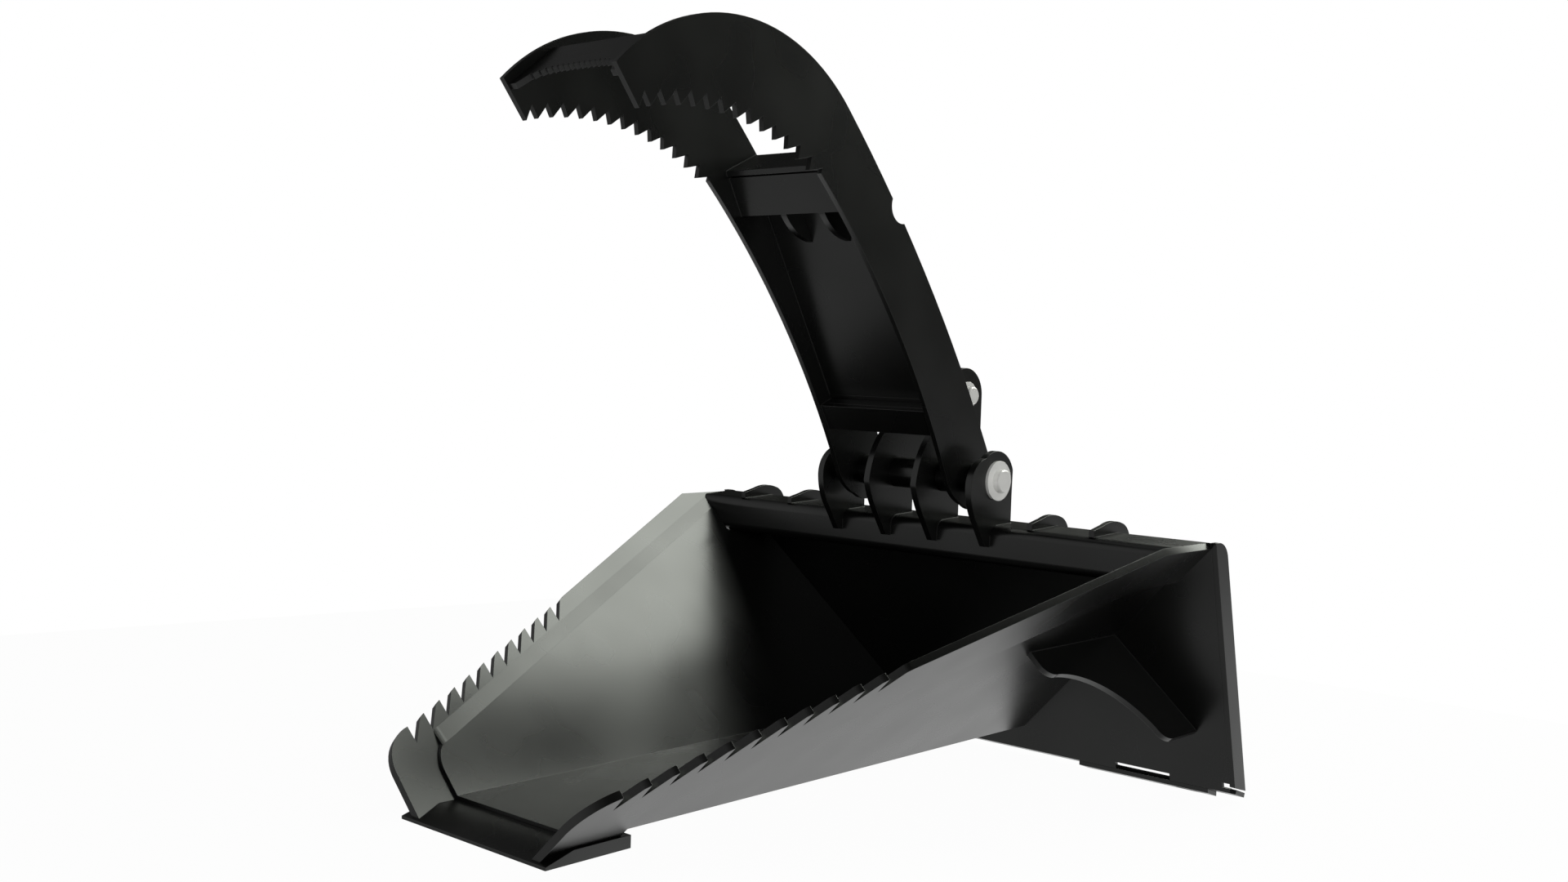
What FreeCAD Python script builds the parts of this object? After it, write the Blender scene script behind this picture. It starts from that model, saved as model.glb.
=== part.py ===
import FreeCAD, Part
import math
import os

V = FreeCAD.Vector

# Stump grapple for a skid-steer loader: a V-shaped trough with sawtooth sides and a curved upper jaw.
# All sizes are in millimetres. While it is drawn, x is zero on the middle plane, y grows from the
# cutting edge to the quick-attach plate, and z is zero under the trough's floor. At the end the whole
# tool is turned a little so that it stands on its cutting edge and on the plate's lower lip.

# Trough
corner_inset = 18.2487      # the walls' top edges end this far inwards from the ends of the plate
wall_lean = 46.0            # degrees from upright
shell_thick = 6.0
shell_front = 80.0          # the formed shell starts this far behind the cutting tip
shell_front_height = 40.0   # its front edge is upright to here
bend_run = 30.0             # then it curves back over this run

# Sawtooth side plates
side_thick = 12.7
side_front = 5.0
front_bow = (15.0, 7.0)     # bulge of the rounded front corner
side_front_height = 66.0    # measured up the slope of the wall
side_band = 95.0            # width of the plate below its tooth tips and its top edge
side_foot = 15.0            # the plate's front foot ends this far before the cutting edge's rear
tooth_count = 11
tooth_pitch = 38.42
tooth_rise = 18.58          # how much each tooth stands higher up the slope than the last
tooth_first = (62.0, 106.0)  # first root: y, and height up the slope
tooth_shoulder = (26.5, 43.0)  # from a root to the shoulder of its tooth
tooth_tip = (36.7, 49.5)    # from a root to the tip of its tooth
side_top_front = 922.0      # y where the rising edge ends
side_top = 558.5            # height of the level top edge, up the slope
liner_drop = 25.6           # the shell's edge lies this far below the tooth roots

# Cutting edge
blade_reach = 23.0          # the blade sticks out this far beside the floor
blade_depth = 153.0
blade_thick = 19.0
blade_bevel_run = 49.0
blade_nose = 5.0            # blunt front of the bevel

# Quick-attach plate
plate_half = 560.0
plate_thick = 8.0
plate_top = 389.0
plate_top_y = 1062.5        # y of the front face at the top
plate_bottom = -45.5
plate_lean = 14.16          # degrees, the lower edge lies further back
lip_top_length = 48.0
lip_top_fall = 48.0         # degrees below the plate's normal
lip_bottom_length = 34.0
lip_bottom_fall = 19.0      # degrees below the level
end_thick = 10.0
end_depth = 38.3
end_corner = 24.0
end_lift = 4.0              # slit between the end plate and the lower lip
relief = (14.0, 9.0)       # corner notch above the lower lip, along x and upwards
lock_inset = 101.0          # lock slot's middle from the end of the plate
lock_slot = (44.0, 16.0)    # along x, and across
pad_half = 128.0
pad_shift = 78.0            # the pad's middle lies this far inwards from the slot
pad_thick = 8.0
window_reach = (130.0, 23.0)  # the notch runs between these distances inwards from the slot
window_height = 12.0

# Crossbar over the rear of the trough
bar_front = 975.0
bar_top = 385.0
bar_bottom = 318.0
bar_thick = 8.0
bar_bend = 16.0

# Stiffening ribs and gussets
rib_x = (-429.0, -305.0, 251.0, 374.0)
rib_thick = 10.0
rib_height = 24.0
rib_start = 7.5             # behind the crossbar's front face
rib_peak = 65.0             # from its front end to its highest point
rib_tail = 38.0             # how far it reaches over the top lip
gusset_level = 295.0        # height up the slope of the wall
gusset_thick = 9.5
gusset_front = 847.0
gusset_edge = ((3.0, 0.14), (11.0, 0.2), (33.0, 0.235), (123.0, 0.4), (193.0, 0.875),
               (200.0, 0.96), (221.0, 1.0))     # back from its front end, share of its reach
gusset_margin = 63.5        # it ends this far from the plate's end

# Hinge lugs and the jaw's pivot
pivot = (990.0, 465.0)
lug_thick = 12.7
outer_lug_x = 168.0
inner_lug_x = 53.0
lug_round = 52.0
lug_tip_z = 350.0
lug_tip_width = 12.0
lug_rear = 1038.0
lug_neck = (935.0, 393.0)   # the front outline of the lugs, upwards from the crossbar
lug_belly = ((920.0, 421.0), (914.0, 450.0))
lug_shoulder = (921.0, 481.0)
lug_heel = 440.0
horn_belly = ((919.0, 420.0), (908.0, 452.0))
horn_neck = ((921.0, 498.0), (946.0, 536.0))
horn_throat = (978.0, 573.0)
horn_heel = (500.0, 430.0, 410.0)
horn_round = 50.0
base_pivot = (1048.0, 610.0)   # pin that carries the cylinder's barrel

# Pins
jaw_pin_radius = 20.0
jaw_pin_end = 192.0
base_pin_radius = 16.0
base_pin_end = 78.0
rod_pin_radius = 16.0
rod_pin_end = 66.0
collar_thick = 6.0
jaw_collar_radius = 35.0
base_collar_radius = 25.0
rod_collar_radius = 36.0
running_fit = 0.05
side_gap = 0.8

# Jaw side plates
jaw_half = 127.0            # outer faces
jaw_thick = 9.5
crown_centre = (368.0, 820.4)
crown_radius = 347.7
crown_start = 135.6         # degrees, at the tip
back_centre = (-1319.0, -814.0)
back_radius = 2695.0
front_centre = (-551.0, -211.0)
front_radius = 1606.0
front_start = (550.0, 957.0)
front_end = (905.0, 473.0)
jaw_heel = (926.0, 439.0)   # between the front edge and the round at the pivot
teeth_centre = (287.7, 565.4)
teeth_radius = 458.8
jaw_tooth_count = 13
jaw_tooth_first = 102.8     # degrees
jaw_tooth_pitch = 3.64
jaw_corner_angle = 105.6
jaw_root_depth = 21.0
jaw_shoulder_depth = 14.0
jaw_root_lead = 0.95
jaw_shoulder_trail = 1.95
notch_radius = 28.5

# Jaw cross plates, as lines in the side view
cross_thick = 9.5
tip_plate_span = (135.3, 117.35)  # degrees on the crown's arc
tip_plate_inset = (12.8, 8.2)  # below the crown's edge at both ends
tip_bite = 44.0             # depth of the tip plate's hollow front edge
tip_bite_half = 104.0
tip_tooth_count = 18
tip_tooth_depth = 8.0
upper_close_line = ((592.0, 968.0), (663.0, 1003.0))
upper_cross_line = ((596.0, 966.0), (629.0, 905.0))
lower_cross_line = ((850.0, 584.0), (875.0, 542.0))
shelf_outline = [(859.0, 589.0), (880.0, 598.0), (883.0, 591.0), (862.0, 581.0)]
web_bottom = (874.0, 604.0)
web_middle = (800.0, 731.0)
web_top = (648.0, 992.0)

# Hub tubes on the jaw
hub_radius = 28.0
bush_wall = 5.0

# Rod lugs on the jaw and the hydraulic cylinder
rod_pivot = (758.0, 924.0)
rod_lug_x = 42.5
rod_lug_thick = 12.7
rod_lug_round = 50.0
rod_lug_belly = ((683.0, 879.0), (731.0, 866.0))
rod_lug_start = (651.0, 908.0)  # its edge on the web, then its foot above the web
rod_lug_foot = ((707.0, 985.0), (676.0, 990.0), (640.0, 950.0))
rod_hole_play = 9.5         # the pivot that is left open has a hole this much larger in radius
rod_hole_offset = (6.4, 6.0)
barrel_radius = 38.0
bore_radius = 31.75
barrel_start = 42.0         # distances from the base pin along the cylinder
barrel_end = 352.0
cap_length = 24.0
neck_inset = 6.0            # the neck between the barrel and its base eye is this much thinner
gland_length = 38.0
gland_flange = 10.0
rod_radius = 17.5
piston_length = 40.0
piston_start = 18.0         # from the end cap, with the rod drawn in
eye_radius = 30.0
base_eye_half = 44.0
rod_eye_half = 33.0
port_radius = 8.0
port_boss = 15.0
port_rise = 16.0
port_inset = (9.0, 12.0)    # from the end cap, and from the gland
pin_chamfer = 2.0

beyond = 2000.0             # longer than any piece, for shapes that only trim others

lean = math.radians(wall_lean)
tilt = math.radians(plate_lean)
lock_x = plate_half - lock_inset
floor_half = plate_half - corner_inset - side_top * math.sin(lean)  # of the floor's underside
blade_half = floor_half + blade_reach
parts = {}


def on_side(x):
    """Map a (y, z) pair to a point on the plane at x."""
    return lambda y, z: V(x, y, z)


def on_wall(y, s, d):
    """A point of the right wall: s up its slope and d outwards from the shell."""
    return V(floor_half + s * math.sin(lean) + d * math.cos(lean), y,
             s * math.cos(lean) - d * math.sin(lean))


def plate_y(z):
    """y of the quick-attach plate's front face at height z."""
    return plate_top_y + (plate_top - z) * math.tan(tilt)


def on_circle(centre, radius, degrees):
    """A point on a circle in the side view."""
    a = math.radians(degrees)
    return (centre[0] + radius * math.cos(a), centre[1] + radius * math.sin(a))


def angle_at(centre, point):
    """Angle in degrees of a point seen from a centre."""
    return math.degrees(math.atan2(point[1] - centre[1], point[0] - centre[0]))


def arc(centre, radius, first, last):
    """Middle and end point of an arc, for a leg of an outline."""
    return (on_circle(centre, radius, (first + last) / 2), on_circle(centre, radius, last))


def outline(spot, legs):
    """Closed wire. A leg is a point, or the middle and end points of an arc."""
    here = legs[0]
    edges = []
    for leg in legs[1:] + [legs[0]]:
        curved = isinstance(leg[0], tuple)
        end = leg[1] if curved else leg
        if math.dist(here, end) < 1e-6:
            continue
        if curved:
            edges.append(Part.Arc(spot(*here), spot(*leg[0]), spot(*end)).toShape())
        else:
            edges.append(Part.LineSegment(spot(*here), spot(*end)).toShape())
        here = end
    return Part.Wire(edges)


def slab(legs, x_low, x_high):
    """Flat piece with a side-view outline, from x_low to x_high."""
    face = Part.Face(outline(on_side(x_low), legs))
    return face.extrude(V(x_high - x_low, 0, 0))


def strip(line, thick, half):
    """Cross plate of a given thickness on the far side of a line in the side view."""
    (y0, z0), (y1, z1) = line
    length = math.dist(line[0], line[1])
    away = ((z1 - z0) / length * thick, -(y1 - y0) / length * thick)
    if away[0] < 0:
        away = (-away[0], -away[1])
    legs = [line[0], line[1], (y1 + away[0], z1 + away[1]), (y0 + away[0], z0 + away[1])]
    return slab(legs, -half, half)


def rod_x(spot, radius, x_low, x_high):
    """Round bar along x through a (y, z) spot."""
    return Part.makeCylinder(radius, x_high - x_low, V(x_low, spot[0], spot[1]), V(1, 0, 0))


def tube_x(spot, outer, inner, x_low, x_high):
    """Round tube along x."""
    return rod_x(spot, outer, x_low, x_high).cut(rod_x(spot, inner, x_low - 1, x_high + 1))


def mirrored(shape):
    """The same piece on the other side of the middle plane."""
    return shape.mirror(V(0, 0, 0), V(1, 0, 0))


def both(shape):
    """A piece and its mirror image as one group."""
    return Part.makeCompound([shape, mirrored(shape)])


def keep(name, shape):
    """Store a piece under its name."""
    parts[name] = shape


def before_plate():
    """All the space in front of the quick-attach plate."""
    return slab([(-beyond, -beyond), (plate_y(-beyond), -beyond), (plate_y(beyond), beyond),
                 (-beyond, beyond)], -plate_half, plate_half)


def root_height(y):
    """Height up the slope of the line through the tooth roots."""
    return tooth_first[1] + (y - tooth_first[0]) * tooth_rise / tooth_pitch


def top_slope():
    """Slope of the crossbar's top, which rises from its front edge to the plate."""
    return (plate_top - bar_top) / (plate_top_y - bar_front)


def make_shell():
    """Floor and inner walls, formed from one plate."""
    inner_x = floor_half + shell_thick * (math.tan(lean) - 1 / math.cos(lean))
    inner_top = inner_x + (side_top - shell_thick) * math.tan(lean)
    outer_top = floor_half + side_top * math.tan(lean)
    right = [(floor_half, 0), (outer_top, side_top), (inner_top, side_top), (inner_x, shell_thick)]
    left = [(-x, z) for x, z in reversed(right)]
    section = outline(lambda x, z: V(x, 0, z), right + left)
    trough = Part.Face(section).extrude(V(0, beyond, 0))
    up = math.cos(lean)
    bend_y = shell_front + bend_run
    bend_z = (root_height(bend_y) - liner_drop) * up
    bend_middle = (shell_front + bend_run * 0.28, (shell_front_height + bend_z) / 2 + bend_run * 0.1)
    stop_y = bar_front
    stop_z = (root_height(stop_y) - liner_drop) * up
    under_z = bar_bottom
    side = [(shell_front, -1), (shell_front, shell_front_height), (bend_middle, (bend_y, bend_z)),
            (stop_y, stop_z), (stop_y, under_z), (plate_y(under_z), under_z), (plate_y(-1), -1)]
    keep("bucket_shell", trough.common(slab(side, -beyond, beyond)))


def make_side_plates():
    """Outer wall plates, a band with sawtooth top edge and a foot on the cutting edge."""
    slope = tooth_rise / tooth_pitch
    nose = (tooth_first[0] + tooth_tip[0] - tooth_pitch, tooth_first[1] + tooth_tip[1] - tooth_rise)
    front_middle = (side_front + front_bow[0], (side_front_height + nose[1]) / 2 + front_bow[1])
    low_s = -blade_thick / math.cos(lean)
    legs = [(side_front, low_s), (side_front, side_front_height), (front_middle, nose)]
    for i in range(tooth_count):
        root = (tooth_first[0] + i * tooth_pitch, tooth_first[1] + i * tooth_rise)
        legs.append(root)
        legs.append((root[0] + tooth_shoulder[0], root[1] + tooth_shoulder[1]))
        legs.append((root[0] + tooth_tip[0], root[1] + tooth_tip[1]))
    foot_y = blade_depth - side_foot
    drop = side_band * math.hypot(1, slope)
    low = side_top - side_band
    low_y = nose[0] + (low + drop - nose[1]) / slope
    legs += [(side_top_front, side_top), (beyond, side_top), (beyond, low), (low_y, low),
             (foot_y, nose[1] - drop + (foot_y - nose[0]) * slope), (foot_y, low_s)]
    flat = Part.Face(outline(lambda y, s: on_wall(y, s, 0), legs))
    out = V(math.cos(lean), 0, -math.sin(lean))
    solid = flat.extrude(out * side_thick)
    over_blade = slab([(0, blade_nose - blade_thick), (blade_bevel_run, 0), (beyond, 0),
                       (beyond, beyond), (0, beyond)], -beyond, beyond)
    solid = solid.common(before_plate()).common(over_blade)
    keep("side_plate_right", solid)
    keep("side_plate_left", mirrored(solid))


def make_blade():
    """Bevelled cutting edge under the front of the trough."""
    low = -blade_thick
    legs = [(0, low), (0, low + blade_nose), (blade_bevel_run, 0), (blade_depth, 0), (blade_depth, low)]
    keep("cutting_edge", slab(legs, -blade_half, blade_half))


def make_crossbar():
    """Formed channel that closes the top of the trough in front of the plate."""
    b = bar_bend
    t = bar_thick
    rise = top_slope()
    rear_top = plate_y(plate_top)
    rear_low = plate_y(bar_bottom)
    k = b * (1 - math.sqrt(0.5))
    m = t + (b - t) * (1 - math.sqrt(0.5))
    outer = [(rear_top, bar_top + (rear_top - bar_front) * rise), (bar_front + b, bar_top + b * rise),
             ((bar_front + k, bar_top - k), (bar_front, bar_top - b)),
             (bar_front, bar_bottom + b),
             ((bar_front + k, bar_bottom + k), (bar_front + b, bar_bottom)), (rear_low, bar_bottom)]
    inner = [(plate_y(bar_bottom + t), bar_bottom + t), (bar_front + b, bar_bottom + t),
             ((bar_front + m, bar_bottom + m), (bar_front + t, bar_bottom + b)),
             (bar_front + t, bar_top - b),
             ((bar_front + m, bar_top - m), (bar_front + b, bar_top + b * rise - t)),
             (rear_top, bar_top + (rear_top - bar_front) * rise - t)]
    channel = slab(outer + inner, -beyond, beyond).common(before_plate())
    low_half = floor_half + bar_bottom * math.tan(lean)
    high_half = floor_half + plate_top * math.tan(lean)
    wedge_face = outline(lambda x, z: V(x, 0, z), [(-low_half, bar_bottom), (low_half, bar_bottom),
                                                   (high_half, plate_top), (-high_half, plate_top)])
    keep("crossbar", channel.common(Part.Face(wedge_face).extrude(V(0, beyond, 0))))


def lock_cut():
    """Slots for the loader's locking wedges, as a tool that passes through the lower lip and pads."""
    length, width = lock_slot
    y_mid = plate_y(plate_bottom) + lip_bottom_length * 0.56
    low = plate_bottom - lip_bottom_length - pad_thick
    box = Part.makeBox(length, width, lip_bottom_length + pad_thick + 2 * plate_thick,
                       V(lock_x - length / 2, y_mid - width / 2, low))
    return both(box)


def back_corner(point, slope):
    """Where a line in the side view meets the rear face of the quick-attach plate."""
    k = math.tan(tilt)
    rear = plate_top_y + plate_thick / math.cos(tilt) + plate_top * k
    z = (point[1] + (rear - point[0]) * slope) / (1 + k * slope)
    return (rear - k * z, z)


def make_attach_plate():
    """Quick-attach plate with its hook lip at the top and lock lip at the bottom, ends and pads."""
    t = plate_thick
    fall = tilt - math.radians(lip_top_fall)
    drop = -math.radians(lip_bottom_fall)
    front_top = (plate_top_y, plate_top)
    front_low = (plate_y(plate_bottom), plate_bottom)
    far = (front_top[0] + math.cos(fall) * lip_top_length, front_top[1] + math.sin(fall) * lip_top_length)
    toe = (front_low[0] + math.cos(drop) * lip_bottom_length,
           front_low[1] + math.sin(drop) * lip_bottom_length)
    under = (math.sin(fall) * t, -math.cos(fall) * t)
    over = (-math.sin(drop) * t, math.cos(drop) * t)
    far_in = (far[0] + under[0], far[1] + under[1])
    toe_in = (toe[0] + over[0], toe[1] + over[1])
    low_in = (front_low[0] + over[0], front_low[1] + over[1])
    half = plate_half - end_thick
    sheet = slab([front_top, far, far_in, back_corner(far_in, math.tan(fall)),
                  back_corner(toe_in, math.tan(drop)), toe_in, toe, front_low], -half, half)
    outer_reach, inner_reach = window_reach
    notch = Part.makeBox(outer_reach - inner_reach, t + window_height, 2 * window_height,
                         V(lock_x - outer_reach, front_low[0] - window_height / 2,
                           plate_bottom - window_height))
    corner = Part.makeBox(relief[0], 3 * t, relief[1], V(half - relief[0], front_low[0] - t, low_in[1]))
    sheet = sheet.cut(both(notch)).cut(both(corner))
    lip = slab([front_low, low_in, toe_in, toe], half, plate_half)
    keep("attach_plate", sheet.fuse([lip, mirrored(lip)]).cut(lock_cut()).removeSplitter())
    deep = end_depth * math.cos(tilt)
    low_front = low_in[1] + end_lift
    low_rear = low_front + (deep - over[0]) * math.tan(drop)
    end = [front_top, (plate_top_y + deep - end_corner, plate_top),
           ((plate_top_y + deep - end_corner * 0.25, plate_top - end_corner * 0.28),
            (plate_y(plate_top - end_corner) + deep, plate_top - end_corner)),
           (plate_y(low_rear) + deep, low_rear), (plate_y(low_front), low_front)]
    cheek = slab(end, half, plate_half)
    keep("attach_end_plate_right", cheek)
    keep("attach_end_plate_left", mirrored(cheek))
    middle = lock_x - pad_shift
    pad = slab([front_low, toe, (toe[0], toe[1] - pad_thick), (front_low[0], front_low[1] - pad_thick)],
               middle - pad_half, middle + pad_half)
    keep("lock_pads", both(pad).cut(lock_cut()))


def make_ribs():
    """Half-moon stiffeners on the crossbar's top, which reach over the plate's top lip."""
    slope = top_slope()
    front = (bar_front + rib_start, bar_top + rib_start * slope)
    lip = math.tan(math.radians(lip_top_fall) - tilt)
    tail = (plate_top_y + rib_tail, plate_top - rib_tail * lip)
    y, z = front
    h = rib_height
    legs = [front, (y, z + h * 0.48), (y + rib_peak * 0.5, z + h * 0.78),
            ((y + rib_peak, z + h), (y + rib_peak * 1.4, z + h * 0.81)),
            ((y + rib_peak * 1.65, z + h * 0.42), tail), (plate_top_y, plate_top)]
    if rib_start < bar_bend:
        legs.append((bar_front + bar_bend, bar_top + bar_bend * slope))
    ribs = []
    for x in rib_x:
        ribs.append(slab(legs, x - rib_thick / 2, x + rib_thick / 2))
    keep("top_ribs", Part.makeCompound(ribs).cut(parts["crossbar"]))


def make_gussets():
    """Curved gussets between the outside of the walls and the quick-attach plate."""
    root_x = floor_half + gusset_level * math.sin(lean)
    reach = (plate_half - gusset_margin - root_x) / math.cos(lean)
    y0 = gusset_front
    a, b, c, d, e, f, g = [(y0 + back, reach * share) for back, share in gusset_edge]
    legs = [(y0, 0), a, (b, c), (d, e), (f, g), (beyond, reach), (beyond, 0)]
    face = Part.Face(outline(lambda y, d: on_wall(y, gusset_level, d), legs))
    up = V(math.sin(lean), 0, math.cos(lean))
    solid = face.extrude(up * -gusset_thick).common(before_plate())
    keep("gusset_right", solid)
    keep("gusset_left", mirrored(solid))


def lug_face():
    """Lower part of every lug's outline, from its rear foot forwards to its front belly."""
    slope = top_slope()
    edge = bar_bend * (1 - math.sqrt(0.5))
    return [(lug_rear, bar_top + (lug_rear - bar_front) * slope),
            (bar_front + bar_bend, bar_top + bar_bend * slope),
            ((bar_front + edge, bar_top - edge), (bar_front, bar_top - bar_bend)),
            (bar_front, lug_tip_z), (bar_front - lug_tip_width, lug_tip_z), lug_neck]


def make_lugs():
    """Two short outer lugs and two tall inner lugs that also carry the cylinder's pin."""
    short = lug_face()
    short += [lug_belly, (lug_shoulder, on_circle(pivot, lug_round, 130)),
              arc(pivot, lug_round, 130, 90), arc(pivot, lug_round, 90, 20), (lug_rear, lug_heel)]
    half = lug_thick / 2
    bore = rod_x(pivot, jaw_pin_radius, -beyond, beyond)
    lug = slab(short, outer_lug_x - half, outer_lug_x + half).cut(bore)
    keep("hinge_lug_outer_right", lug)
    keep("hinge_lug_outer_left", mirrored(lug))
    tall = lug_face()
    high, middle, low = horn_heel
    tall += [horn_belly, horn_neck, (horn_throat, on_circle(base_pivot, horn_round, 165)),
             arc(base_pivot, horn_round, 165, 80), arc(base_pivot, horn_round, 80, 0),
             (base_pivot[0] + horn_round, high), (lug_rear + lug_tip_width, middle), (lug_rear, low)]
    upper_bore = rod_x(base_pivot, base_pin_radius, -beyond, beyond)
    lug = slab(tall, inner_lug_x - half, inner_lug_x + half).cut(bore).cut(upper_bore)
    keep("hinge_lug_inner_right", lug)
    keep("hinge_lug_inner_left", mirrored(lug))


def pin(spot, radius, end):
    """Round pin with chamfered ends."""
    face = end - pin_chamfer
    straight = rod_x(spot, radius, -face, face)
    tip = Part.makeCone(radius, radius - pin_chamfer, pin_chamfer, V(face, *spot), V(1, 0, 0))
    return straight.fuse([tip, mirrored(tip)]).removeSplitter()


def make_pins():
    """Pins of the jaw and of the cylinder, each with a collar at both ends."""
    keep("jaw_pin", pin(pivot, jaw_pin_radius, jaw_pin_end))
    face = outer_lug_x + lug_thick / 2
    keep("jaw_pin_collars",
         both(tube_x(pivot, jaw_collar_radius, jaw_pin_radius, face, face + collar_thick)))
    keep("base_pin", pin(base_pivot, base_pin_radius, base_pin_end))
    face = inner_lug_x + lug_thick / 2
    keep("base_pin_collars",
         both(tube_x(base_pivot, base_collar_radius, base_pin_radius, face, face + collar_thick)))
    gap = inner_lug_x - lug_thick / 2
    keep("lug_spacer", tube_x(pivot, hub_radius, jaw_pin_radius, -gap, gap))


def jaw_edge():
    """Outline of a jaw side plate, from its tip over the crown and round the pivot."""
    back_from = angle_at(back_centre, on_circle(crown_centre, crown_radius, 45.0))
    start = on_circle(crown_centre, crown_radius, crown_start)
    joint = on_circle(back_centre, back_radius, back_from)
    end_radius = back_radius - math.dist(back_centre, pivot)
    heel = angle_at(back_centre, pivot)
    legs = [start, arc(crown_centre, crown_radius, crown_start, 90),
            (on_circle(crown_centre, crown_radius, 68), joint),
            arc(back_centre, back_radius, back_from, heel),
            arc(pivot, end_radius, heel, -90), arc(pivot, end_radius, -90, -125),
            (jaw_heel, front_end)]
    a0 = angle_at(front_centre, front_end)
    a1 = angle_at(front_centre, front_start)
    middle = on_circle(front_centre, front_radius, (a0 + a1) / 2)
    legs.append((middle, front_start))
    for i in reversed(range(jaw_tooth_count)):
        a = jaw_tooth_first - i * jaw_tooth_pitch
        if i == jaw_tooth_count - 1:
            last = a - jaw_tooth_pitch + jaw_root_lead
            legs.append(on_circle(teeth_centre, teeth_radius + jaw_root_depth, last))
        legs.append(on_circle(teeth_centre, teeth_radius + jaw_shoulder_depth, a - jaw_shoulder_trail))
        legs.append(on_circle(teeth_centre, teeth_radius, a))
        legs.append(on_circle(teeth_centre, teeth_radius + jaw_root_depth, a + jaw_root_lead))
    legs.append(on_circle(teeth_centre, teeth_radius, jaw_corner_angle))
    return legs


def make_jaw_sides():
    """Serrated side plates of the jaw with the half-round notch for fitting the rod pin."""
    blank = slab(jaw_edge(), jaw_half - jaw_thick, jaw_half)
    blank = blank.cut(rod_x(rod_pivot, notch_radius, 0, beyond))
    blank = blank.cut(rod_x(pivot, hub_radius, 0, beyond))
    keep("jaw_side_right", blank)
    keep("jaw_side_left", mirrored(blank))


def make_tip_plate():
    """Plate across the jaw's tip with a hollow, serrated front edge."""
    (y0, z0), (y1, z1) = [on_circle(crown_centre, crown_radius - inset, degrees)
                          for degrees, inset in zip(tip_plate_span, tip_plate_inset)]
    length = math.dist((y0, z0), (y1, z1))
    along = V(0, (y1 - y0) / length, (z1 - z0) / length)
    half = jaw_half - jaw_thick
    origin = V(0, y0, z0)

    def spot(x, r):
        return origin + V(x, 0, 0) + along * r

    def bite(x):
        return tip_bite * (1 - abs(x / tip_bite_half) ** 4) ** 0.5

    step = 2 * tip_bite_half / tip_tooth_count
    legs = [(-half, 0), (-tip_bite_half, 0)]
    for i in range(tip_tooth_count):
        left = -tip_bite_half + i * step
        middle = left + step / 2
        legs.append((middle, max(bite(middle) - tip_tooth_depth, 0.5)))
        if i < tip_tooth_count - 1:
            legs.append((left + step, bite(left + step)))
    legs += [(tip_bite_half, 0), (half, 0), (half, length), (-half, length)]
    down = V(0, (z1 - z0) / length, -(y1 - y0) / length)
    keep("jaw_tip_plate", Part.Face(outline(spot, legs)).extrude(down * cross_thick))


def web_legs():
    """Side view of the web plate, which follows the jaw's curve in two flats."""
    far = []
    for (a, b) in ((web_bottom, web_middle), (web_middle, web_top)):
        scale = cross_thick / math.dist(a, b)
        far.append(((b[1] - a[1]) * scale, (a[0] - b[0]) * scale))
    joint = ((far[0][0] + far[1][0]) / 2, (far[0][1] + far[1][1]) / 2)
    return [web_bottom, web_middle, web_top, (web_top[0] + far[1][0], web_top[1] + far[1][1]),
            (web_middle[0] + joint[0], web_middle[1] + joint[1]),
            (web_bottom[0] + far[0][0], web_bottom[1] + far[0][1])]


def rod_lug():
    """Right lug for the rod pin, before its hole. Its front corner passes through the web."""
    legs = [rod_lug_start, rod_lug_belly, (rod_pivot[0], rod_pivot[1] - rod_lug_round),
            arc(rod_pivot, rod_lug_round, -90, 0), arc(rod_pivot, rod_lug_round, 0, 75)]
    legs += rod_lug_foot
    half = rod_lug_thick / 2
    return slab(legs, rod_lug_x - half, rod_lug_x + half)


def make_jaw_cross_plates():
    """Plates that tie the two sides of the jaw into a box, and the lugs for the rod pin."""
    half = jaw_half - jaw_thick
    keep("jaw_upper_cross_plate", strip(upper_cross_line, cross_thick, half))
    lower = strip(lower_cross_line, cross_thick, half)
    keep("jaw_lower_cross_plate", lower)
    (y0, z0), (y1, z1) = upper_close_line
    scale = cross_thick / math.dist(*upper_close_line)
    up = (-(z1 - z0) * scale, (y1 - y0) * scale)
    legs = [(y0, z0), (y1, z1), (y1 + up[0], z1 + up[1]), (y0 + up[0], z0 + up[1])]
    keep("jaw_upper_closing_plate", slab(legs, -half, half))
    lug = rod_lug()
    web = slab(web_legs(), -half, half).cut(both(lug))
    keep("jaw_web_plate", web)
    keep("jaw_shelf_plate", slab(shelf_outline, -half, half).cut(lower).cut(web))
    hole_spot = (rod_pivot[0] + rod_hole_offset[0], rod_pivot[1] + rod_hole_offset[1])
    lug = lug.cut(rod_x(hole_spot, rod_pin_radius + rod_hole_play, -beyond, beyond))
    keep("rod_lug_right", lug)
    keep("rod_lug_left", mirrored(lug))


def make_hubs():
    """Hub tubes welded through the jaw's side plates, with pressed bushes."""
    inner = inner_lug_x + lug_thick / 2 + side_gap
    outer = outer_lug_x - lug_thick / 2 - side_gap
    bush_out = jaw_pin_radius + running_fit + bush_wall
    keep("jaw_hubs", both(tube_x(pivot, hub_radius, bush_out, inner, outer)))
    keep("jaw_bushes", both(tube_x(pivot, bush_out, jaw_pin_radius + running_fit, inner, outer)))


def cylinder_line():
    """Direction from the base pin to the rod pin, and the distance between them."""
    way = V(0, rod_pivot[0] - base_pivot[0], rod_pivot[1] - base_pivot[1])
    length = way.Length
    return way.normalize(), length


def turned(radius, start, end):
    """Round bar along the cylinder between two distances from the base pin."""
    way, _ = cylinder_line()
    return Part.makeCylinder(radius, end - start, V(0, *base_pivot) + way * start, way)


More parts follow.
